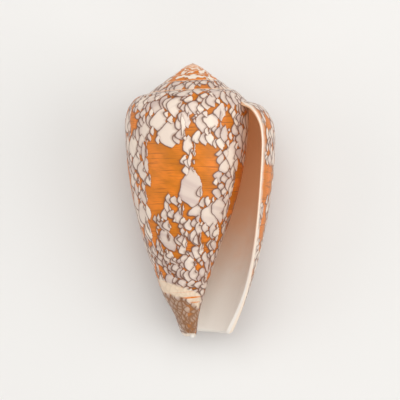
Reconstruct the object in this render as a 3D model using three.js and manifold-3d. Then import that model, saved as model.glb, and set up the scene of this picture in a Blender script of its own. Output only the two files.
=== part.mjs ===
// A cone shell lying on its back with its aperture up. Lengths are in millimetres and angles in radians.
//
// The shell is a dextral logarithmic spiral about a straight axis. Every stage of growth has the same outline,
// measured from the apex and shrunk by growthScale(turn), where turn is the angle back from the outer lip.
// The outer surface, the hollow inside and the walls between its whorls all follow from that one outline.
import * as THREE from "three";
import Module from "manifold-3d";
import { mergeVertices } from "three/addons/utils/BufferGeometryUtils.js";

const FULL_TURN = 2 * Math.PI;
const LENGTH = 60; // apex to anterior tip
const WHORL_GROWTH = 1.47; // size of each whorl against the one before it
const LIP_ANGLE = THREE.MathUtils.degToRad(-36); // where the outer lip stands round the axis
const SUTURE_DEPTH = 9.0; // from the apex down to the suture at the lip
const COVER_DEPTH = SUTURE_DEPTH * WHORL_GROWTH; // where the next whorl's suture lies on this one
const COVER_RADIUS = 17.86;
const SHOULDER_DEPTH = 20; // where the shoulder passes into the flank
const SPIRE_TURNS = 4; // whorls that show above the last one
const NUCLEUS_DEPTH = 0.5; // the apex is worn a little blunt

const STEPS_PER_TURN = 40;
const COVER_ROWS = 3; // facets from the suture down to COVER_DEPTH
const SHOULDER_ROWS = 3; // from there to the flank
const FLANK_ROWS = 10;
const BODY_ROWS = COVER_ROWS + SHOULDER_ROWS + FLANK_ROWS;

const WALL = 1.5; // last whorl
const LIP_WALL = 0.9; // thinner at the free edge
const LIP_BLEND = THREE.MathUtils.degToRad(30); // how far in it thickens
const INNER_WALL = 0.5; // earlier walls are dissolved thin inside the shell
const CALLUS = 0.08; // glaze on the wall opposite the lip
const HOLLOW_STEPS_PER_TURN = 24;
const HOLLOW_ROWS = 10;
const HOLLOW_STARTS = THREE.MathUtils.degToRad(-12); // in front of the lip, so that the aperture is open
const HOLLOW_ENDS = 2.8 * FULL_TURN;
const SIPHON_CLOSES = THREE.MathUtils.degToRad(200); // as far back as this the hollow is open at the tip
const NARROWEST = 0.3; // least width of the hollow

const REST_ROLL = THREE.MathUtils.degToRad(90); // direction round the axis that faces the ground
const REST_PITCH = THREE.MathUtils.degToRad(7); // slope of the axis, spire end higher
const WORN_FLAT = 0.25; // the spot it lies on is rubbed flat by this much, so that it doesn't roll

// The outline at the lip: depth below the apex, then radius. It goes on past the tip, because earlier stages
// of growth are shrunk and so reach further along it.
const OUTLINE = new THREE.CatmullRomCurve3(
  [
    [SUTURE_DEPTH, COVER_RADIUS / WHORL_GROWTH],
    [10.2, 15.6],
    [COVER_DEPTH, COVER_RADIUS],
    [16.0, 18.5],
    [20.0, 18.55],
    [30.0, 17.7],
    [40.0, 15.9],
    [50.0, 13.2],
    [60.0, 9.5],
    [67.5, 6.9],
    [75.0, 4.3],
    [86.0, 2.2],
    [100.0, 1.5],
    [250.0, 1.2],
  ].map(([depth, radius]) => new THREE.Vector3(depth, radius, 0)),
  false,
  "centripetal",
);

function outlineRadius(depth) {
  let low = 0;
  let high = 1;
  for (let step = 0; step < 30; step++) {
    const middle = (low + high) / 2;
    if (OUTLINE.getPoint(middle).x < depth) low = middle;
    else high = middle;
  }
  return OUTLINE.getPoint(high).y;
}

function growthScale(turn) {
  return WHORL_GROWTH ** (-turn / FULL_TURN);
}

function whorlRadius(turn, depth) {
  const scale = growthScale(turn);
  return scale * outlineRadius(depth / scale);
}

// The free edge of the lip leans back towards the siphon: how far, at a given depth.
function lipTurn(depth) {
  const share = Math.max(0, (depth - 25) / (LENGTH - 25));
  return THREE.MathUtils.degToRad(27 * share ** 2 + 9 * share ** 12);
}

function place(turn, radius, depth) {
  const angle = LIP_ANGLE + turn;
  return [radius * Math.cos(angle), radius * Math.sin(angle), -depth];
}

// Collects faces given as points in order round each one, and joins them into a solid.
function faceCollector() {
  const positions = [];
  return {
    face(first, ...others) {
      for (let i = 1; i < others.length; i++) positions.push(...first, ...others[i - 1], ...others[i]);
    },
    geometry() {
      const loose = new THREE.BufferGeometry();
      loose.setAttribute("position", new THREE.Float32BufferAttribute(positions, 3));
      return mergeVertices(loose, 1e-3);
    },
  };
}

// Depth of a row of facets at one stage of growth: crowded over the shoulder, even down the flank to the tip.
function rowDepth(turn, row) {
  const scale = growthScale(turn);
  if (row <= COVER_ROWS) {
    const share = (row / COVER_ROWS) ** 1.6;
    return scale * THREE.MathUtils.lerp(SUTURE_DEPTH, COVER_DEPTH, share);
  }
  if (row <= COVER_ROWS + SHOULDER_ROWS) {
    const share = (row - COVER_ROWS) / SHOULDER_ROWS;
    return scale * THREE.MathUtils.lerp(COVER_DEPTH, SHOULDER_DEPTH, share);
  }
  const share = (row - COVER_ROWS - SHOULDER_ROWS) / FLANK_ROWS;
  return THREE.MathUtils.lerp(scale * SHOULDER_DEPTH, LENGTH, share);
}

function outerPoint(step, row) {
  const turn = lipTurn(rowDepth(0, row)) + (step / STEPS_PER_TURN) * FULL_TURN;
  const depth = rowDepth(turn, row);
  return place(turn, whorlRadius(turn, depth), depth);
}

function outerGeometry() {
  const outside = faceCollector();
  const lastStep = STEPS_PER_TURN * (SPIRE_TURNS + 1);
  // The last whorl shows all its rows, and each earlier one only those above the whorl that covers it.
  for (let step = 0; step < lastStep; step++) {
    const rows = step < STEPS_PER_TURN ? BODY_ROWS : COVER_ROWS;
    for (let row = 0; row < rows; row++) {
      outside.face(
        outerPoint(step, row),
        outerPoint(step, row + 1),
        outerPoint(step + 1, row + 1),
        outerPoint(step + 1, row),
      );
    }
  }
  const nucleus = [0, 0, -NUCLEUS_DEPTH];
  for (let step = lastStep - STEPS_PER_TURN; step < lastStep; step++) {
    outside.face(nucleus, outerPoint(step, 0), outerPoint(step + 1, 0));
  }
  for (let row = 0; row < COVER_ROWS; row++) {
    outside.face(nucleus, outerPoint(lastStep, row), outerPoint(lastStep, row + 1));
  }
  // The face at the lip, from the whorl before out to the last one. It begins at the suture.
  const suture = outerPoint(0, 0);
  for (let row = 1; row < COVER_ROWS; row++) {
    outside.face(suture, outerPoint(0, row + 1), outerPoint(0, row));
  }
  for (let row = COVER_ROWS; row < BODY_ROWS; row++) {
    outside.face(
      outerPoint(STEPS_PER_TURN, row),
      outerPoint(STEPS_PER_TURN, row + 1),
      outerPoint(0, row + 1),
      outerPoint(0, row),
    );
  }
  // The anterior end.
  const innermost = outerPoint(STEPS_PER_TURN, BODY_ROWS);
  for (let step = 0; step < STEPS_PER_TURN - 1; step++) {
    outside.face(outerPoint(step, BODY_ROWS), innermost, outerPoint(step + 1, BODY_ROWS));
  }
  return outside.geometry();
}

// One section of the hollow: points down the whorl before, then points down the inside of the outer wall.
function hollowSection(turn) {
  const scale = growthScale(turn);
  const sinceLip = THREE.MathUtils.clamp(turn / LIP_BLEND, 0, 1);
  const lastWall = THREE.MathUtils.lerp(LIP_WALL, WALL, sinceLip);
  const wall = turn > FULL_TURN ? INNER_WALL : lastWall;
  const clearance = turn < 0 ? NARROWEST : CALLUS;
  const top = scale * SUTURE_DEPTH + wall + NARROWEST;
  const closing = (LENGTH - 5) * growthScale(turn - SIPHON_CLOSES);
  const bottom = turn < SIPHON_CLOSES ? LENGTH + 2 : closing;
  const inner = [];
  const outer = [];
  for (let row = 0; row <= HOLLOW_ROWS; row++) {
    const depth = THREE.MathUtils.lerp(top, bottom, (row / HOLLOW_ROWS) ** 1.3);
    const near = whorlRadius(turn + FULL_TURN, depth) + clearance;
    const underRamp = whorlRadius(turn, Math.max(depth - wall, scale * SUTURE_DEPTH));
    const far = Math.min(whorlRadius(turn, depth), underRamp) - wall;
    inner.push(place(turn, near, depth));
    outer.push(place(turn, Math.max(far, near + NARROWEST), depth));
  }
  return { inner, outer };
}

function hollowGeometry() {
  const inside = faceCollector();
  const steps = Math.round((HOLLOW_STEPS_PER_TURN * (HOLLOW_ENDS - HOLLOW_STARTS)) / FULL_TURN);
  const sections = [];
  for (let step = 0; step <= steps; step++) {
    sections.push(hollowSection(THREE.MathUtils.lerp(HOLLOW_STARTS, HOLLOW_ENDS, step / steps)));
  }
  const last = HOLLOW_ROWS;
  for (let step = 0; step < steps; step++) {
    const here = sections[step];
    const next = sections[step + 1];
    for (let row = 0; row < last; row++) {
      inside.face(here.outer[row], here.outer[row + 1], next.outer[row + 1], next.outer[row]);
      inside.face(here.inner[row], next.inner[row], next.inner[row + 1], here.inner[row + 1]);
    }
    inside.face(here.inner[0], here.outer[0], next.outer[0], next.inner[0]);
    inside.face(here.inner[last], next.inner[last], next.outer[last], here.outer[last]);
  }
  const mouth = sections[0];
  const end = sections[steps];
  for (let row = 0; row < last; row++) {
    inside.face(mouth.inner[row], mouth.inner[row + 1], mouth.outer[row + 1], mouth.outer[row]);
    inside.face(end.inner[row], end.outer[row], end.outer[row + 1], end.inner[row + 1]);
  }
  return inside.geometry();
}

const wasm = await Module();
wasm.setup();

function solidOf(geometry) {
  const mesh = new wasm.Mesh({
    numProp: 3,
    vertProperties: geometry.attributes.position.array,
    triVerts: new Uint32Array(geometry.index.array),
  });
  return new wasm.Manifold(mesh);
}

function geometryOf(solid) {
  const mesh = solid.getMesh();
  const geometry = new THREE.BufferGeometry();
  geometry.setAttribute("position", new THREE.BufferAttribute(mesh.vertProperties, 3));
  geometry.setIndex(new THREE.BufferAttribute(mesh.triVerts, 1));
  geometry.computeVertexNormals();
  return geometry;
}

// The apex points along +Y and the resting direction down, then the tip is lowered by the slope of the axis.
function lieDown(geometry) {
  const rolled = new THREE.Matrix4().makeRotationZ(Math.PI / 2 - REST_ROLL);
  const laid = new THREE.Matrix4().makeRotationX(REST_PITCH - Math.PI / 2);
  return geometry.applyMatrix4(laid.multiply(rolled));
}

function makeShell() {
  const grown = solidOf(lieDown(outerGeometry())).subtract(solidOf(lieDown(hollowGeometry())));
  const solid = grown.trimByPlane([0, 0, 1], grown.boundingBox().min[2] + WORN_FLAT);
  const material = new THREE.MeshStandardMaterial({ color: 0xd9a066, roughness: 0.3, metalness: 0 });
  const shell = new THREE.Mesh(geometryOf(solid), material);
  shell.name = "shell";
  return shell;
}

const shell = makeShell();

// The origin is under the middle of the shell, on the ground.
shell.geometry.computeBoundingBox();
const { min, max } = shell.geometry.boundingBox;
shell.geometry.translate(-(min.x + max.x) / 2, -(min.y + max.y) / 2, -min.z);

const group = new THREE.Group();
group.add(shell);
export default group;
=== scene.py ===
"""A cone shell lying on its back with its aperture up, on a pale floor.

The shell is one calcareous wall that winds round a straight axis. Lengths inside the sections are in
millimetres and angles in radians, until a mesh is made in metres.
"""

import bpy
import numpy as np
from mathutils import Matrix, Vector


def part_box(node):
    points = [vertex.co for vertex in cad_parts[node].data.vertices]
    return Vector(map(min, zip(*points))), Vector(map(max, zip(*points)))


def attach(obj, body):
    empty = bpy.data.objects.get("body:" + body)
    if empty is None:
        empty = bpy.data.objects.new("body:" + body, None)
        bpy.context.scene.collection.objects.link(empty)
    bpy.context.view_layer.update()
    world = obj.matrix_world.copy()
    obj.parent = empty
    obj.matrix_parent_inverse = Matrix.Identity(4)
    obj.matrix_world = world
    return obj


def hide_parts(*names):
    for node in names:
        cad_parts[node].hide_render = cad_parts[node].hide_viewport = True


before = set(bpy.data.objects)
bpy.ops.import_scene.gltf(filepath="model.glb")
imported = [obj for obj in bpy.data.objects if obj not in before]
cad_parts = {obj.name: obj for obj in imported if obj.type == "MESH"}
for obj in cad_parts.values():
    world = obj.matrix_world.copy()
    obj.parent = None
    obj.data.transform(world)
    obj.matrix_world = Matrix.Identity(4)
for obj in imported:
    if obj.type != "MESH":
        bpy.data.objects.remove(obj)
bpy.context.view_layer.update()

# ---------------------------------------------------------------------------------------------------
# The shell wall. The animal lays it down at its outer lip, as a sheet of aragonite 1 to 2 mm thick that
# winds round the axis and grows by the same factor with each turn. The earlier walls inside are thin.
# ---------------------------------------------------------------------------------------------------
FULL_TURN = 2 * np.pi
WHORL_GROWTH = 1.47
LIP_ANGLE = np.radians(-36)
LENGTH = 60.0
SUTURE_DEPTH = 9.0
COVER_DEPTH = SUTURE_DEPTH * WHORL_GROWTH
SHOULDER_DEPTH = 20.0
WHORLS = 6
HOLLOW_ENDS = 2.8 * FULL_TURN
REST_PITCH = np.radians(7)
NUCLEUS_DEPTH = 0.45
WALL, LIP_WALL, INNER_WALL = 1.5, 0.5, 0.5
WALL_FULL_AT = np.radians(30)
SIPHON_CLOSES = np.radians(200)
HOLLOW_END = 5.0
RIM_LIFT, NOTCH_LIFT = 0.65, 0.35
NOTCH_TURN, NOTCH_WIDTH = np.radians(122), np.radians(40)
TIP_DRAWN_IN = 0.25
LIP_ROUND, END_ROUND, TIP_ROUND = 0.3, 0.7, 3.3
OUTLINE = np.array(
    [
        [9.0, 12.15],
        [10.2, 15.6],
        [13.23, 17.86],
        [16.0, 18.5],
        [20.0, 18.55],
        [30.0, 17.7],
        [40.0, 15.9],
        [50.0, 13.2],
        [60.0, 9.5],
        [67.5, 6.9],
        [75.0, 4.3],
        [86.0, 2.2],
        [100.0, 1.5],
        [250.0, 1.2],
    ]
)


def smooth_step(value, low, high):
    """0 at low, 1 at high, and 3 t squared less 2 t cubed between them, t being the share of the way."""
    share = np.clip((value - low) / (high - low), 0, 1)
    return share * share * (3 - 2 * share)


def flowing_curve(points, steps):
    """Centripetal Catmull-Rom curve: between two points a cubic whose end slopes weigh the chords on
    either side by the square root of their lengths."""
    ends = [2 * points[:1] - points[1:2], points, 2 * points[-1:] - points[-2:-1]]
    held = np.concatenate(ends)
    gap = np.sqrt(np.linalg.norm(np.diff(held, axis=0), axis=1))[:, None]
    chord = np.diff(held, axis=0) / gap
    wide = np.diff(held[1:] + held[:-1], axis=0) / (gap[1:] + gap[:-1])
    slope = chord[:-1] - wide + chord[1:]
    share = np.linspace(0, 1, steps, endpoint=False)[:, None, None]
    a, b = held[1:-2], held[2:-1]
    out, into = slope[:-1] * gap[1:-1], slope[1:] * gap[1:-1]
    curve = (
        a * (2 * share**3 - 3 * share**2 + 1)
        + out * (share**3 - 2 * share**2 + share)
        + b * (3 * share**2 - 2 * share**3)
        + into * (share**3 - share**2)
    )
    return np.concatenate([curve.transpose(1, 0, 2).reshape(-1, 2), points[-1:]])


profile = flowing_curve(OUTLINE, 40)
profile_arc = np.concatenate([[0], np.cumsum(np.linalg.norm(np.diff(profile, axis=0), axis=1))])


def growth_scale(turn):
    """Size of the shell at that angle back from the lip: a whorl's growth to minus the number of turns."""
    return WHORL_GROWTH ** (-turn / FULL_TURN)


def whorl_radius(turn, depth):
    """The one outline, shrunk about the apex: scale times the outline's radius at depth over scale."""
    scale = growth_scale(turn)
    return scale * np.interp(depth / scale, profile[:, 0], profile[:, 1])


def distance_down(turn, depth):
    """Length along the outline from the suture, shrunk in the same way."""
    scale = growth_scale(turn)
    return scale * np.interp(depth / scale, profile[:, 0], profile_arc)


def lip_lean(depth, since_lip):
    """How far the free edge leans back: 27 degrees times the square of the share of the way down, 9 more
    round the corner at the tip, and a shallow notch under the suture that fades inwards."""
    share = np.clip((depth - 25) / (LENGTH - 25), 0, None)
    notch = 6 * np.clip((10.9 - depth) / 1.9, 0, 1) ** 2 * np.clip(1 - since_lip / 1.2, 0, 1) ** 2
    return np.radians(27 * share**2 + 9 * share**12 + notch)


# Rows of the grid go down the outline and columns go back round the axis. Both are crowded near a free edge.
cover_share = np.linspace(0, 1, 15) ** 1.35
shoulder_share = np.linspace(0, 1, 13)[1:]
flank_share = np.concatenate([np.linspace(0, 0.965, 56)[1:], [0.976, 0.986, 0.9925, 0.997, 0.9993, 1.0]])
row_count = len(cover_share) + len(shoulder_share) + len(flank_share)
lip_steps = np.radians([0, 0.04, 0.15, 0.35, 0.65, 1.1, 2.0])
last_whorl = np.radians(np.arange(3.2, 405, 1.25))
earlier = np.linspace(np.radians(405), WHORLS * FULL_TURN, 230)
since_lip = np.concatenate([lip_steps, last_whorl, earlier])[:, None]

cover_rows = SUTURE_DEPTH + (COVER_DEPTH - SUTURE_DEPTH) * cover_share
shoulder_rows = COVER_DEPTH + (SHOULDER_DEPTH - COVER_DEPTH) * shoulder_share
upper_rows = np.concatenate([cover_rows, shoulder_rows])
lip_rows = np.concatenate([upper_rows, SHOULDER_DEPTH + (LENGTH - SHOULDER_DEPTH) * flank_share])
turn = since_lip + lip_lean(lip_rows[None, :], since_lip)
scale = growth_scale(turn)
upper_count = len(upper_rows)

# The lower rim stands higher round the siphon, where it has a shallow notch, and lower at the columella.
bottom = LENGTH - RIM_LIFT * smooth_step(turn, np.radians(206), np.radians(130))
bottom = bottom - NOTCH_LIFT * np.exp(-(((turn - NOTCH_TURN) / NOTCH_WIDTH) ** 2))
around_axis = smooth_step(turn, np.radians(190), np.radians(235))
bottom = bottom - around_axis * 0.5 + 0.6 * smooth_step(turn, np.radians(340), np.radians(430))
depth = np.empty_like(turn)
depth[:, :upper_count] = scale[:, :upper_count] * upper_rows
flank_top = scale[:, upper_count:] * SHOULDER_DEPTH
depth[:, upper_count:] = flank_top + (bottom[:, upper_count:] - flank_top) * flank_share

# The whorls of the spire are nearly flat from suture to suture.
straight = scale * np.interp(depth / scale, [SUTURE_DEPTH, COVER_DEPTH], OUTLINE[[0, 2], 1])
on_spire = smooth_step(turn, FULL_TURN - 0.3, FULL_TURN + 1.2) * (np.arange(row_count) < len(cover_share))

# The sheet lies on the whorl before. Where the hollow is closed, its inner face hugs that whorl.
grown_radius = whorl_radius(turn, depth)
grown_radius = grown_radius + (straight - grown_radius) * on_spire * 0.75
drawn_in = smooth_step(turn, np.radians(125), np.radians(195)) * smooth_step(depth, 50, 57)
grown_radius = grown_radius * (1 - TIP_DRAWN_IN * drawn_in)
solid_tip = smooth_step(turn, np.radians(160), np.radians(206))
older = whorl_radius(turn + FULL_TURN, depth) - 0.06
has_older = turn + FULL_TURN <= WHORLS * FULL_TURN
hug = np.where(has_older, older, 0.02)
last_wall = LIP_WALL + (WALL - LIP_WALL) * np.clip(turn / WALL_FULL_AT, 0, 1)
wall = last_wall + (INNER_WALL - last_wall) * smooth_step(turn, FULL_TURN, FULL_TURN + 0.4)
under_ramp = whorl_radius(turn, np.maximum(depth - wall, scale * SUTURE_DEPTH))
beyond = np.minimum(grown_radius, under_ramp) - wall - hug
open_width = (beyond + np.sqrt(beyond**2 + 0.01)) / 2
siphon_turn = turn - SIPHON_CLOSES
still_open = 1 - smooth_step(siphon_turn, -0.35, 0.1)
closing_depth = (LENGTH - HOLLOW_END) * growth_scale(siphon_turn) + 14 * still_open
closed = smooth_step(depth, closing_depth - 1.0, closing_depth + 1.0)
closed = np.maximum(closed, smooth_step(turn, HOLLOW_ENDS - 0.2, HOLLOW_ENDS))
inner_radius = np.minimum(hug + open_width * (1 - closed), grown_radius - 0.02)

# Free edges are rounded: the thickness shrinks as a quarter ellipse over the last part of the way.
end_round = END_ROUND + TIP_ROUND * solid_tip * smooth_step(turn, np.radians(430), np.radians(340))
from_lip = since_lip * grown_radius
from_end = bottom - depth
thin_lip = np.sqrt(1 - (1 - np.clip(from_lip / LIP_ROUND, 0, 1)) ** 2)
thin_end = np.sqrt(1 - (1 - np.clip(from_end / end_round, 0, 1)) ** 2)
thin = np.maximum(thin_lip * thin_end, 0.004)
core = (grown_radius + inner_radius) / 2 * (1 - solid_tip) + inner_radius * solid_tip
outer_radius = core + (grown_radius - core) * thin
inner_radius = core + (inner_radius - core) * thin
inner_depth = depth.copy()
inner_depth[:, 0] = np.where(has_older[:, 0], depth[:, 0], NUCLEUS_DEPTH)


def placed(turn, radius, depth):
    """Round the axis by turn at that radius and depth, then laid on its back: apex to +Y, tip low."""
    angle = LIP_ANGLE + turn
    across, up = radius * np.cos(angle), radius * np.sin(angle)
    lean = REST_PITCH - np.pi / 2
    along = up * np.cos(lean) + depth * np.sin(lean)
    height = up * np.sin(lean) - depth * np.cos(lean)
    return np.stack([across, along, height], axis=-1)


outside = placed(turn, outer_radius, depth)
inside = placed(turn, inner_radius, inner_depth)
points = np.concatenate([outside.reshape(-1, 3), inside.reshape(-1, 3)])
shell_low, shell_high = (np.array(corner) * 1000 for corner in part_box("shell"))
points[:, :2] += (shell_low + shell_high)[:2] / 2 - (points.min(0) + points.max(0))[:2] / 2
# The spot it lies on is worn flat, at the level of the ground.
points[:, 2] += shell_high[2] - points[:, 2].max()
points[:, 2] = np.maximum(points[:, 2], shell_low[2])

column_count = len(since_lip)
inner_start = column_count * row_count
number = np.arange(inner_start).reshape(column_count, row_count)


def strips(one, other):
    """Four-sided faces between two neighbouring lines of vertex numbers, in order round each."""
    return np.stack([one[..., :-1], one[..., 1:], other[..., 1:], other[..., :-1]], axis=-1).reshape(-1, 4)


outer_faces = strips(number[:-1], number[1:])
inner_faces = strips(number[1:], number[:-1]) + inner_start
lip_faces = strips(number[0] + inner_start, number[0])
heart_faces = strips(number[-1], number[-1] + inner_start)
top_faces = strips(number[:, 0], number[:, 0] + inner_start)
end_faces = strips(number[:, -1] + inner_start, number[:, -1])
faces = np.concatenate([outer_faces, inner_faces, lip_faces, heart_faces, top_faces, end_faces])
corners = points[faces]
swept = np.cross(corners[:, 2] - corners[:, 0], corners[:, 3] - corners[:, 1])
if np.sum(swept * corners.mean(1)) < 0:
    faces = faces[:, ::-1]

shell_mesh = bpy.data.meshes.new("cone_shell")
shell_mesh.from_pydata((points / 1000).tolist(), [], faces.tolist())
shell_mesh.shade_smooth()
shell_mesh.update()
shell = bpy.data.objects.new("cone_shell", shell_mesh)
bpy.context.scene.collection.objects.link(shell)


def add_place(name, values):
    """Stores a vector for each vertex of the shell."""
    stored = shell_mesh.attributes.new(name, "FLOAT_VECTOR", "POINT")
    stored.data.foreach_set("vector", values.astype(np.float32).ravel())


# Where each vertex lies on the spiral: its turn, its distance down from the suture and its radius.
down = distance_down(turn, depth)
spot = np.stack([turn, down, grown_radius], axis=-1).reshape(-1, 3)
add_place("spiral_place", np.concatenate([spot, spot]))
# Which surface it is: the inside, how near a free edge in millimetres, and its depth below the apex.
covered = (np.arange(row_count) >= len(cover_share) - 1)[None, :]
behind_slot = smooth_step(turn, FULL_TURN + np.radians(37), FULL_TURN + np.radians(41)) * covered
edge = np.minimum(from_lip, from_end * (0.4 + 0.5 * around_axis))
outer_side = np.stack([behind_slot, edge, depth], axis=-1).reshape(-1, 3)
inner_side = np.stack([np.ones_like(turn), edge, depth], axis=-1).reshape(-1, 3)
add_place("surface_side", np.concatenate([outer_side, inner_side]))

# A flat map of the surface: the outside of the last whorl fills most of it, and the spire, the inner walls
# and the free edges lie in bands below. Each band runs round the shell from left to right.
BANDS = np.array([[0.42, 0.995], [0.30, 0.41], [0.23, 0.29], [0.13, 0.22], [0.06, 0.12]])
EDGE_BANDS = np.array([[0.045, 0.055], [0.033, 0.043], [0.018, 0.030], [0.004, 0.016]])
LAST_COLUMN = len(lip_steps) + len(last_whorl)
wall_count = len(outer_faces) + len(inner_faces)
column, row = faces % inner_start // row_count, faces % row_count
beyond_last = (column.min(1) >= LAST_COLUMN)[:, None]
below_cover = (row.min(1) >= len(cover_share) - 1)[:, None]
on_inside = faces >= inner_start
grown = growth_scale(since_lip[:, 0])
last_share = since_lip[:, 0] / since_lip[LAST_COLUMN, 0]
earlier_share = (grown[LAST_COLUMN] - grown) / (grown[LAST_COLUMN] - grown[-1])
across_map = np.where(beyond_last, earlier_share[column], last_share[column])
row_arc = np.interp(lip_rows, profile[:, 0], profile_arc)
cover_arc = row_arc[len(cover_share) - 1]
whole_share, cover_part = row_arc[row] / row_arc[-1], row_arc[row] / cover_arc
flank_part = (row_arc[row] - cover_arc) / (row_arc[-1] - cover_arc)
earlier_part = np.where(below_cover, flank_part, cover_part)
up_band = np.where(beyond_last & ~on_inside, earlier_part, whole_share)
band_number = np.where(on_inside, 3 + beyond_last, np.where(beyond_last, 1 + below_cover, 0))
band_low, band_high = BANDS[band_number].transpose(2, 0, 1)
flat_map = np.stack([across_map, band_high - (band_high - band_low) * up_band], axis=-1)
edge_band = np.repeat([0, 1, 2, 3], [row_count - 1, row_count - 1, column_count - 1, column_count - 1])
edge_low, edge_high = EDGE_BANDS[edge_band, :, None].transpose(1, 0, 2)
row_share, column_share = row[wall_count:] / row_count, column[wall_count:] / column_count
along_edge = np.where(edge_band[:, None] < 2, row_share, column_share)
up_edge = edge_low + (edge_high - edge_low) * on_inside[wall_count:]
flat_map[wall_count:] = np.stack([along_edge, up_edge], axis=-1)
flat_map[..., 0] = 0.003 + 0.994 * flat_map[..., 0]
map_layer = shell_mesh.uv_layers.new(name="OFBake")
map_layer.uv.foreach_set("vector", flat_map.astype(np.float32).ravel())

# ---------------------------------------------------------------------------------------------------
# The marks. The mantle lays pigment along the lip as the shell grows, so each pale tent has its rounded,
# dark-rimmed point towards the lip, and the tents laid earlier, further back, overlie its open end.
# ---------------------------------------------------------------------------------------------------
MARK_LAYERS = 8
LINE_REACH = 0.62
SEARCH_REACH = 1.5
# The bare orange windows lie in spiral bands. For each: the depth of its middle, the windows' mean height
# in millimetres and mean width in degrees, and how many there are round the last whorl.
WINDOW_BANDS = (
    (13.5, 3.0, 12, 7),
    (24.0, 8.0, 23, 8),
    (37.0, 3.6, 15, 7),
    (46.5, 2.4, 12, 5),
    (54.5, 2.6, 26, 3),
)
WINDOW_SEED = 23
MARKED_DEGREES = 400
SPOT_COUNT, SPOT_WIDTH, SPOT_HEIGHT = 50, 9, 1.8
random = np.random.default_rng(WINDOW_SEED)
windows = []
for middle, height, width, count in WINDOW_BANDS:
    firsts = MARKED_DEGREES / count * (np.arange(count) + random.uniform(-0.3, 0.3, count))
    widths = width * random.uniform(0.6, 1.4, count)
    heights = height * random.uniform(0.6, 1.4, count)
    middles = middle + height * random.uniform(-0.35, 0.35, count)
    sides = [firsts, firsts + widths, middles - heights / 2, middles + heights / 2]
    windows.append(np.stack(sides, axis=-1))
    # A smaller one overlaps each at a corner, so that the outline is irregular.
    firsts = firsts + widths * random.uniform(-0.3, 0.7, count)
    middles = middles + heights * random.choice([-0.6, 0.6], count)
    sides = [firsts, firsts + widths * 0.6, middles - heights * 0.3, middles + heights * 0.3]
    windows.append(np.stack(sides, axis=-1))
# Small bare spots, mostly in the lower half.
spot_turns = random.uniform(0, MARKED_DEGREES, SPOT_COUNT)
spot_depths = random.uniform(30, 49, SPOT_COUNT)
sides = [spot_turns, spot_turns + SPOT_WIDTH, spot_depths, spot_depths + SPOT_HEIGHT]
windows.append(np.stack(sides, axis=-1))
windows = np.concatenate(windows)


def overlap(tents, turns, downs, radii):
    """How deep each place lies in each tent, in millimetres, and how far back from its tip. The tent's rim
    is a hyperbola: the root of height squared and roundness squared, sloping with distance from the tip."""
    tip, level, length, height, slant, blunt = tents.T[:, :, None]
    back = (turns - tip) * radii
    off = downs - level - slant * back
    spread = height / length
    sine = spread / np.sqrt(1 + spread**2)
    cosine = 1 / np.sqrt(1 + spread**2)
    round_off = blunt * height
    rim = cosine * np.sqrt(off**2 + round_off**2) - sine * back - cosine * round_off * 0.6
    return -rim, back


MEAN_RADIUS = 14.0


def within(places, margin):
    """Whether (turn, depth) places lie in an orange window that is shrunk by the margin in millimetres."""
    turns, depths = np.degrees(places[:, :1]), places[:, 1:]
    reach = np.degrees(margin / MEAN_RADIUS)
    inside_turn = (turns > windows[:, 0] + reach) & (turns < windows[:, 1] - reach)
    inside_depth = (depths > windows[:, 2] + margin) & (depths < windows[:, 3] - margin)
    return (inside_turn & inside_depth).any(1)


def depth_at(turn, down):
    """The depth below the apex of a place that far down from the suture."""
    scale = growth_scale(turn)
    return scale * np.interp(down / scale, profile_arc, profile[:, 0])


# Places in the part of a tent that has to stay in sight: shares of its length and of its half height there.
CORE = np.array([[0.12, 0.0], [0.38, 0.8], [0.38, -0.8], [0.68, 0.85], [0.68, -0.85], [0.68, 0.0]])
TOUCH = 0.10
# The largest a tent is in millimetres, at depths down the shell.
LARGEST_AT = np.array([[10, 4.2], [16, 6.0], [26, 8.0], [34, 7.0], [44, 4.6], [52, 3.0]])
MOST_TENTS = 9000
# Tents are tried from large to small: their mean size in millimetres, and how many places are tried.
TENT_STEPS = (
    (7.5, 45),
    (5.6, 110),
    (4.2, 420),
    (3.2, 1300),
    (2.6, 3500),
    (2.0, 5500),
    (1.5, 3500),
    (1.0, 1800),
)
SPIRE_FROM, SPIRE_TO, SPIRE_SHARE, SPIRE_LARGEST = np.radians(405), np.radians(1000), 0.03, 2.8
TWICE_FROM = np.radians(600)
SHRINKS_FROM = np.radians(540)
NEAR_TURN, NEAR_DOWN = 0.8, 8


def cores_of(tents):
    """Those places as turn, distance down and radius. The half height at a distance back from the tip is
    the root of (spread times back, plus 0.6 roundness) squared less roundness squared."""
    tip, level, length, height, slant, blunt = tents.T[:, :, None]
    back = CORE[:, 0] * length
    round_off = blunt * height
    half = np.sqrt(np.maximum((height / length * back + 0.6 * round_off) ** 2 - round_off**2, 0))
    downs = level + slant * back + CORE[:, 1] * half
    turns = tip + back / whorl_radius(tip, depth_at(tip, level))
    return np.stack([turns, downs, whorl_radius(turns, depth_at(turns, downs))], axis=-1)


def hides(tents, places, share):
    """Whether any of the places lies in the body of any of the tents, up to that share of its length."""
    deep, back = overlap(tents, *places.reshape(-1, 3).T)
    return ((deep > TOUCH) & (back < tents[:, 2:3] * share - TOUCH)).any()


laid = np.zeros((MOST_TENTS, 6))
laid_cores = np.zeros((MOST_TENTS, len(CORE), 3))
laid_count = 0

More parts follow.
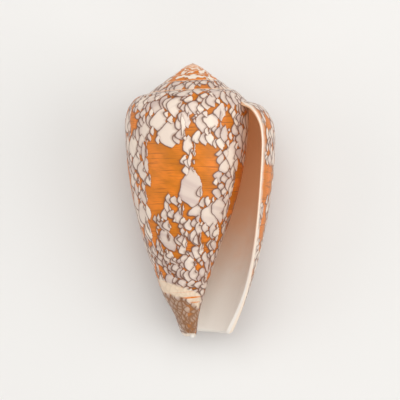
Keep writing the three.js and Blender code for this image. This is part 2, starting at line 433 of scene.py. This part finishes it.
# Tents are laid one by one from large to small, each where it hides no tent's core and none hides its own.
# On the spire they shrink with the whorls, and towards the tip they shrink too.
for size, tries in TENT_STEPS:
    tips = random.uniform(0, SPIRE_TO, tries)
    tips = np.where(tips > TWICE_FROM, tips - TWICE_FROM, tips)
    to_spire = random.random(tries) < SPIRE_SHARE
    tips = np.where(to_spire, random.uniform(SPIRE_FROM, SPIRE_TO, tries), tips)
    whole_level = np.interp(LENGTH / growth_scale(tips), profile[:, 0], profile_arc) * growth_scale(tips)
    cover_level = np.interp(COVER_DEPTH, profile[:, 0], profile_arc) * growth_scale(tips)
    level_range = np.where(tips > np.radians(MARKED_DEGREES), cover_level, whole_level)
    levels = random.uniform(0, 1, tries) * level_range
    depths = depth_at(tips, levels)
    largest = np.interp(depths, *LARGEST_AT.T)
    largest = np.where(tips > np.radians(MARKED_DEGREES), SPIRE_LARGEST, largest)
    narrowing = 1 - 0.15 * smooth_step(depths, 34, 42) - 0.2 * smooth_step(depths, 49, 53)
    shrinking = growth_scale(np.maximum(tips - SHRINKS_FROM, 0))
    sizes = np.minimum(size, largest) * shrinking * narrowing
    lengths = sizes * random.uniform(0.85, 1.25, tries)
    heights = sizes * random.uniform(0.42, 0.70, tries)
    slants = random.normal(0.0, 0.22, tries)
    blunts = random.uniform(0.5, 1.1, tries)
    radii = whorl_radius(tips, depths)
    room = np.full(tries, 99.0)
    for first, last, upper, lower in windows:
        facing = (depths > upper) & (depths < lower) & (np.degrees(tips) < first)
        room = np.where(facing, np.minimum(room, (np.radians(first) - tips) * radii), room)
    lengths = np.minimum(lengths, np.maximum(room + random.uniform(-0.3, 0.5, tries), 0.5))
    made = np.stack([tips, levels, lengths, heights, slants, blunts], axis=-1)
    cores = cores_of(made)
    core_depths = depth_at(cores[..., 0], cores[..., 1])
    core_places = np.stack([cores[..., 0], core_depths], axis=-1).reshape(-1, 2)
    in_window = within(core_places, 0.3).reshape(core_depths.shape).any(1)
    for tent, core in zip(made[~in_window], cores[~in_window]):
        already = laid[:laid_count]
        beside = (abs(already[:, 0] - tent[0]) < NEAR_TURN) & (abs(already[:, 1] - tent[1]) < NEAR_DOWN)
        near = np.flatnonzero(beside)
        above = near[already[near, 0] > tent[0]]
        below = near[already[near, 0] <= tent[0]]
        under_others = hides(already[above], core, 1.0) or hides(already[below], core, 0.75)
        if under_others or hides(tent[None], laid_cores[below], 1.0):
            continue
        laid[laid_count] = tent
        laid_cores[laid_count] = core
        laid_count += 1
tents = laid[:laid_count]
tents = tents[np.argsort(-tents[:, 0])]

# Each face of the outer surface keeps the few uppermost tents that reach it.
marked_columns = int(np.sum(since_lip < SPIRE_TO))
face_turn = (turn[:marked_columns, :-1] + turn[1 : marked_columns + 1, 1:]) / 2
face_down = (down[:marked_columns, :-1] + down[1 : marked_columns + 1, 1:]) / 2
face_radius = (grown_radius[:marked_columns, :-1] + grown_radius[1 : marked_columns + 1, 1:]) / 2
face_turn, face_down, face_radius = face_turn.ravel(), face_down.ravel(), face_radius.ravel()
held_count = np.zeros(len(face_turn), int)
kept_tents = np.zeros((len(faces), MARK_LAYERS, 6), np.float32)
kept_tents[:, :, 0] = -50.0
kept_tents[:, :, 2:] = 0.5
tent_radii = whorl_radius(tents[:, 0], depth_at(tents[:, 0], tents[:, 1]))
for tent, radius in zip(tents, tent_radii):
    since_tip = (face_turn - tent[0]) * radius
    in_reach = (since_tip > -SEARCH_REACH) & (since_tip < tent[2] + SEARCH_REACH)
    near = np.flatnonzero(in_reach & (held_count < MARK_LAYERS))
    deep, back = overlap(tent[None], face_turn[near], face_down[near], face_radius[near])
    reached = (deep[0] > -LINE_REACH) & (back[0] < tent[2] + LINE_REACH)
    taken = near[reached]
    kept_tents[taken, held_count[taken]] = tent
    held_count[taken] += 1
    filled = near[(deep[0] > LINE_REACH) & (back[0] < tent[2] - LINE_REACH)]
    held_count[filled] = MARK_LAYERS
spread = kept_tents[..., 3] / kept_tents[..., 2]
cosine = 1 / np.sqrt(1 + spread**2)
kept_shape = np.stack([*kept_tents[..., :3].transpose(2, 0, 1), spread * cosine], axis=-1)
kept_form = np.stack([kept_tents[..., 4], kept_tents[..., 5] * kept_tents[..., 3], cosine], axis=-1)
for layer in range(MARK_LAYERS):
    shape_of = shell_mesh.attributes.new(f"tent_{layer}", "FLOAT_COLOR", "FACE")
    shape_of.data.foreach_set("color", kept_shape[:, layer].ravel())
    form_of = shell_mesh.attributes.new(f"tent_form_{layer}", "FLOAT_VECTOR", "FACE")
    form_of.data.foreach_set("vector", kept_form[:, layer].ravel())

# ---------------------------------------------------------------------------------------------------
# The finish: smooth, slightly glossy aragonite with golden-brown and cream pigment in its top layer,
# dark brown rims round the tents, and a bare porcelain inside with painted tan shade under the shoulder.
# ---------------------------------------------------------------------------------------------------
GOLDEN = (0.58, 0.170, 0.006, 1)
ORANGE = (0.82, 0.225, 0.016, 1)
UMBER = (0.22, 0.062, 0.012, 1)
CREAM = (0.89, 0.76, 0.635, 1)
LILAC = (0.54, 0.40, 0.365, 1)
RIM_BROWN = (0.115, 0.046, 0.028, 1)
BAND_CREAM = (0.86, 0.68, 0.50, 1)
TIP_TAN = (0.34, 0.17, 0.075, 1)
# Tan painted on the inside under the shoulder, for shade deep in the hollow and light through the thin wall.
INNER_PAINTED_TAN = (0.78, 0.48, 0.30, 1)
PORCELAIN = (0.85, 0.80, 0.74, 1)
# Colours of the painted glow on the inside: warm under the shoulder, pale towards the tip.
WARM_PAINTED_GLOW = (0.074, 0.038, 0.015, 1)
PALE_PAINTED_GLOW = (0.015, 0.011, 0.005, 1)
APEX_PINK = (0.86, 0.53, 0.36, 1)
RIM_WIDTH = 0.08


class Signal:
    """A node socket in arithmetic: an operator adds a Math node, and node() adds any other kind of node."""

    def __init__(self, tree, socket):
        self.tree = tree
        self.socket = socket

    def node(self, kind, settings, inputs, output=0):
        """Adds a node of that type, applies its settings, then the values or links of its sockets."""
        made = self.tree.nodes.new(kind)
        for name, value in settings.items():
            setattr(made, name, value)
        for name, value in inputs.items():
            if isinstance(value, Signal):
                self.tree.links.new(value.socket, made.inputs[name])
            else:
                made.inputs[name].default_value = value
        return Signal(self.tree, made.outputs[output])

    def math(self, operation, first, second=0.0):
        return self.node("ShaderNodeMath", {"operation": operation}, {0: first, 1: second})

    def __add__(self, other):
        return self.math("ADD", self, other)

    __radd__ = __add__

    def __sub__(self, other):
        return self.math("SUBTRACT", self, other)

    def __rsub__(self, other):
        return self.math("SUBTRACT", other, self)

    def __mul__(self, other):
        return self.math("MULTIPLY", self, other)

    __rmul__ = __mul__

    def __truediv__(self, other):
        return self.math("DIVIDE", self, other)

    def __abs__(self):
        return self.math("ABSOLUTE", self)

    def __mod__(self, other):
        return self.math("MODULO", self, other)

    def root(self):
        return self.math("SQRT", self)

    def ramp(self, low, high):
        """0 at low and 1 at high, eased at both ends. With low above high it falls instead."""
        settings = {"interpolation_type": "SMOOTHSTEP"}
        return self.node("ShaderNodeMapRange", settings, {0: self, 1: low, 2: high, 3: 0.0, 4: 1.0})

    def blend(self, one, other):
        """Colour one where this is 0 and the other where it is 1."""
        return self.node("ShaderNodeMix", {"data_type": "RGBA"}, {0: self, 6: one, 7: other}, 2)

    def parts(self):
        """The three numbers of a vector."""
        return [self.node("ShaderNodeSeparateXYZ", {}, {0: self}, output) for output in range(3)]

    def noise(self, across, along, depth, detail=2.0, output=0):
        """Noise at a point given by three numbers in its own cells."""
        point = self.node("ShaderNodeCombineXYZ", {}, {0: across, 1: along, 2: depth})
        return self.node("ShaderNodeTexNoise", {}, {"Vector": point, "Scale": 1.0, "Detail": detail}, output)


glaze = bpy.data.materials.new("painted_shell")
glaze.use_nodes = True
tree = glaze.node_tree
surface = tree.nodes["Principled BSDF"]
start = Signal(tree, None)


def stored(name, output="Vector"):
    """A value kept in the mesh."""
    return start.node("ShaderNodeAttribute", {"attribute_name": name}, {}, output)


turn_here, down_here, radius_here = stored("spiral_place").parts()
inside_here, edge_here, depth_here = stored("surface_side").parts()
around = turn_here * radius_here
solid_point = start.node("ShaderNodeTexCoord", {}, {}, "Object")
in_millimetres = start.node("ShaderNodeVectorMath", {"operation": "SCALE"}, {0: solid_point, "Scale": 1000.0})
wander = start.node("ShaderNodeTexNoise", {}, {"Vector": in_millimetres, "Scale": 0.42, "Detail": 1.0}, 1)
wander_around, wander_down, blotch = wander.parts()
tremble = start.node("ShaderNodeTexNoise", {}, {"Vector": in_millimetres, "Scale": 1.7, "Detail": 1.0}, 1)
tremble_around, tremble_down, fleck = tremble.parts()
moved_around = (wander_around - 0.5) * 1.0 + (tremble_around - 0.5) * 0.2
moved_down = (wander_down - 0.5) * 1.0 + (tremble_down - 0.5) * 0.2
turn_moved = turn_here + moved_around / radius_here
down_moved = down_here + moved_down

# The ground: golden brown to orange, with broken threads along the spiral and faint bands across it.
bands = start.noise(around * 0.30, down_here * 0.03, 0.0, 3.0)
threads = start.noise(around * 0.16, down_here * 1.9, 4.0, 2.0)
fine_threads = start.noise(around * 0.5, down_here * 4.5, 9.0, 1.0)
ground = (bands * 1.1 + blotch * 0.6).ramp(0.62, 1.10).blend(GOLDEN, ORANGE)
thread_mask = threads.ramp(0.55, 0.72) * 0.55 + fine_threads.ramp(0.56, 0.70) * 0.28
ground = thread_mask.blend(ground, UMBER)
# Where the ground is redder, the tents are greyer.
greyer = bands.ramp(0.45, 0.62) * 0.25

# The tents, from the lowest layer up: pale fill up to the open end, then the dark rim on the lip's side.
shade = ground
for layer in reversed(range(MARK_LAYERS)):
    tip, level, length = stored(f"tent_{layer}").parts()
    sine = stored(f"tent_{layer}", "Alpha")
    slant, round_off, cosine = stored(f"tent_form_{layer}").parts()
    back = (turn_moved - tip) * radius_here
    off = down_moved - level - slant * back
    deep = sine * back - cosine * ((off * off + round_off * round_off).root() - 0.6 * round_off)
    before_end = length + (fleck - 0.5) * 0.7 - back - off * off * 0.42 * cosine / (sine * length)
    fill = deep.ramp(-0.02, 0.05) * before_end.ramp(-0.04, 0.06)
    tint = (tip * 97.0) % 1.0
    pale = (tint * 0.45 + deep.ramp(0.55, 0.0) * 0.25 + greyer).blend(CREAM, LILAC)
    rim = abs(deep - 0.02).ramp(RIM_WIDTH + 0.05, RIM_WIDTH - 0.05) * before_end.ramp(-0.10, 0.10)
    shade = (deep.ramp(-0.45, 0.0) * before_end.ramp(-0.4, 0.0) * 0.35).blend(shade, UMBER)
    shade = fill.blend(shade, pale)
    shade = (rim * 0.82).blend(shade, RIM_BROWN)

# The anterior tip: a cream band where the fasciole begins, and a darker net below it.
degrees = turn_here * np.degrees(1.0)
band_depth = depth_here - (degrees - 235.0) * 0.030 - 49.0 + (wander_down - 0.5) * 2.0
columella_side = degrees.ramp(205.0, 225.0)
fasciole = abs(band_depth).ramp(1.5, 0.9) * columella_side * degrees.ramp(352.0, 335.0)
shade = (fasciole * 0.85).blend(shade, threads.ramp(0.60, 0.68).blend(BAND_CREAM, ORANGE))
below_band = band_depth.ramp(1.0, 2.0) * columella_side * degrees.ramp(365.0, 350.0)
shade = (below_band * 0.60).blend(shade, TIP_TAN)

# The spire: older whorls in orange with cream patches along the suture, paler towards the worn apex.
whorl_share = down_here / radius_here
patches = start.noise(turn_moved * 2.6, whorl_share * 5.5, 2.0, 1.0)
patch_edge = abs(patches - 0.52).ramp(0.03, 0.008)
spire_shade = patches.ramp(0.51, 0.53).blend(ground, CREAM)
spire_shade = (patch_edge * 0.3).blend(spire_shade, RIM_BROWN)
spire_shade = whorl_share.ramp(0.028, 0.008).blend(spire_shade, UMBER)
spire_shade = radius_here.ramp(3.0, 1.0).blend(spire_shade, APEX_PINK)
shade = degrees.ramp(930.0, 985.0).blend(shade, spire_shade)

# The inside and the free edges carry no pigment. The inside is painted tan under the shoulder, as shade deep
# in the hollow warmed by light through the thin wall.
towards_tip = (depth_here + (blotch - 0.5) * 6.0).ramp(26.0, 52.0)
inside_porcelain_and_painted_tan = towards_tip.blend(INNER_PAINTED_TAN, PORCELAIN)
near_lip = (edge_here + (blotch - 0.5) * 1.4).ramp(1.3, 0.4)
near_lip = near_lip * depth_here.ramp(54.0, 40.0) * 0.55
shade = near_lip.blend(shade, CREAM)
shade = edge_here.ramp(0.35, 0.12).blend(shade, CREAM)
shade = inside_here.blend(shade, inside_porcelain_and_painted_tan)
tree.links.new(shade.socket, surface.inputs["Base Color"])

# A painted glow, an emission on the inside, stands in for daylight that comes through the thin wall and warms
# the shaded hollow.
painted_glow = towards_tip.blend(WARM_PAINTED_GLOW, PALE_PAINTED_GLOW)
painted_glow = inside_here.blend((0.0, 0.0, 0.0, 1), painted_glow)
tree.links.new(painted_glow.socket, surface.inputs["Emission Color"])
surface.inputs["Emission Strength"].default_value = 1.0

growth_lines = start.noise(around * 2.2, down_here * 0.12, 6.0, 3.0)
gloss = growth_lines * 0.12 + 0.34
tree.links.new(gloss.socket, surface.inputs["Roughness"])
surface.inputs["Coat Weight"].default_value = 0.08
surface.inputs["Coat Roughness"].default_value = 0.22
surface.inputs["Specular IOR Level"].default_value = 0.3
relief = growth_lines * 0.8 + fine_threads * 0.25
bump = start.node("ShaderNodeBump", {}, {"Strength": 0.22, "Distance": 0.0002, "Height": relief})
tree.links.new(bump.socket, surface.inputs["Normal"])
shell_mesh.materials.append(glaze)

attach(shell, "root")
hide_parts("shell")

# ---------------------------------------------------------------------------------------------------
# The floor: plain pale paper, swept flat.
# ---------------------------------------------------------------------------------------------------
FLOOR_SIZE = 3.0
floor_mesh = bpy.data.meshes.new("floor")
half = FLOOR_SIZE / 2
floor_mesh.from_pydata(
    [(-half, -half, 0), (half, -half, 0), (half, half, 0), (-half, half, 0)], [], [(0, 1, 2, 3)]
)
floor = bpy.data.objects.new("floor", floor_mesh)
bpy.context.scene.collection.objects.link(floor)
paper = bpy.data.materials.new("pale_paper")
paper.use_nodes = True
paper.node_tree.nodes["Principled BSDF"].inputs["Base Color"].default_value = (0.78, 0.77, 0.75, 1)
paper.node_tree.nodes["Principled BSDF"].inputs["Roughness"].default_value = 0.9
floor_mesh.materials.append(paper)

# ---------------------------------------------------------------------------------------------------
# Light: a large soft box over the shell, a weaker one on each side and a dim surround.
# ---------------------------------------------------------------------------------------------------
low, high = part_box("shell")
middle = (low + high) / 2


def soft_box(name, place, size, power):
    """A square area light of that side, aimed at the middle of the shell."""
    lamp = bpy.data.lights.new(name, "AREA")
    lamp.shape = "SQUARE"
    lamp.size = size
    lamp.energy = power
    held = bpy.data.objects.new(name, lamp)
    held.location = middle + Vector(place)
    held.rotation_euler = (-Vector(place)).to_track_quat("-Z", "Y").to_euler()
    bpy.context.scene.collection.objects.link(held)


soft_box("key_light", (0.0, 0.16, 0.60), 0.60, 2.6)
soft_box("right_light", (0.48, -0.04, 0.34), 0.45, 1.35)
soft_box("left_light", (-0.48, 0.0, 0.28), 0.40, 0.65)
soft_box("tip_light", (0.0, -0.55, 0.30), 0.40, 0.35)
world = bpy.data.worlds.new("surround")
world.use_nodes = True
world.node_tree.nodes["Background"].inputs["Color"].default_value = (1.0, 0.98, 0.96, 1)
world.node_tree.nodes["Background"].inputs["Strength"].default_value = 0.35
bpy.context.scene.world = world
bpy.context.scene.view_settings.view_transform = "Standard"

# ---------------------------------------------------------------------------------------------------
# The camera looks square to the shell's axis from the aperture's side, through a long lens.
# ---------------------------------------------------------------------------------------------------
VIEW_WIDTH = 0.087
CAMERA_DISTANCE = 0.6
camera_data = bpy.data.cameras.new("camera")
camera_data.sensor_width = 36
camera_data.lens = 36 * CAMERA_DISTANCE / VIEW_WIDTH
camera_data.clip_start = 0.01
camera = bpy.data.objects.new("camera", camera_data)
toward = Vector((0, -np.sin(REST_PITCH), np.cos(REST_PITCH)))
camera.location = middle + toward * CAMERA_DISTANCE
camera.rotation_euler = (REST_PITCH, 0, 0)
bpy.context.scene.collection.objects.link(camera)
bpy.context.scene.camera = camera
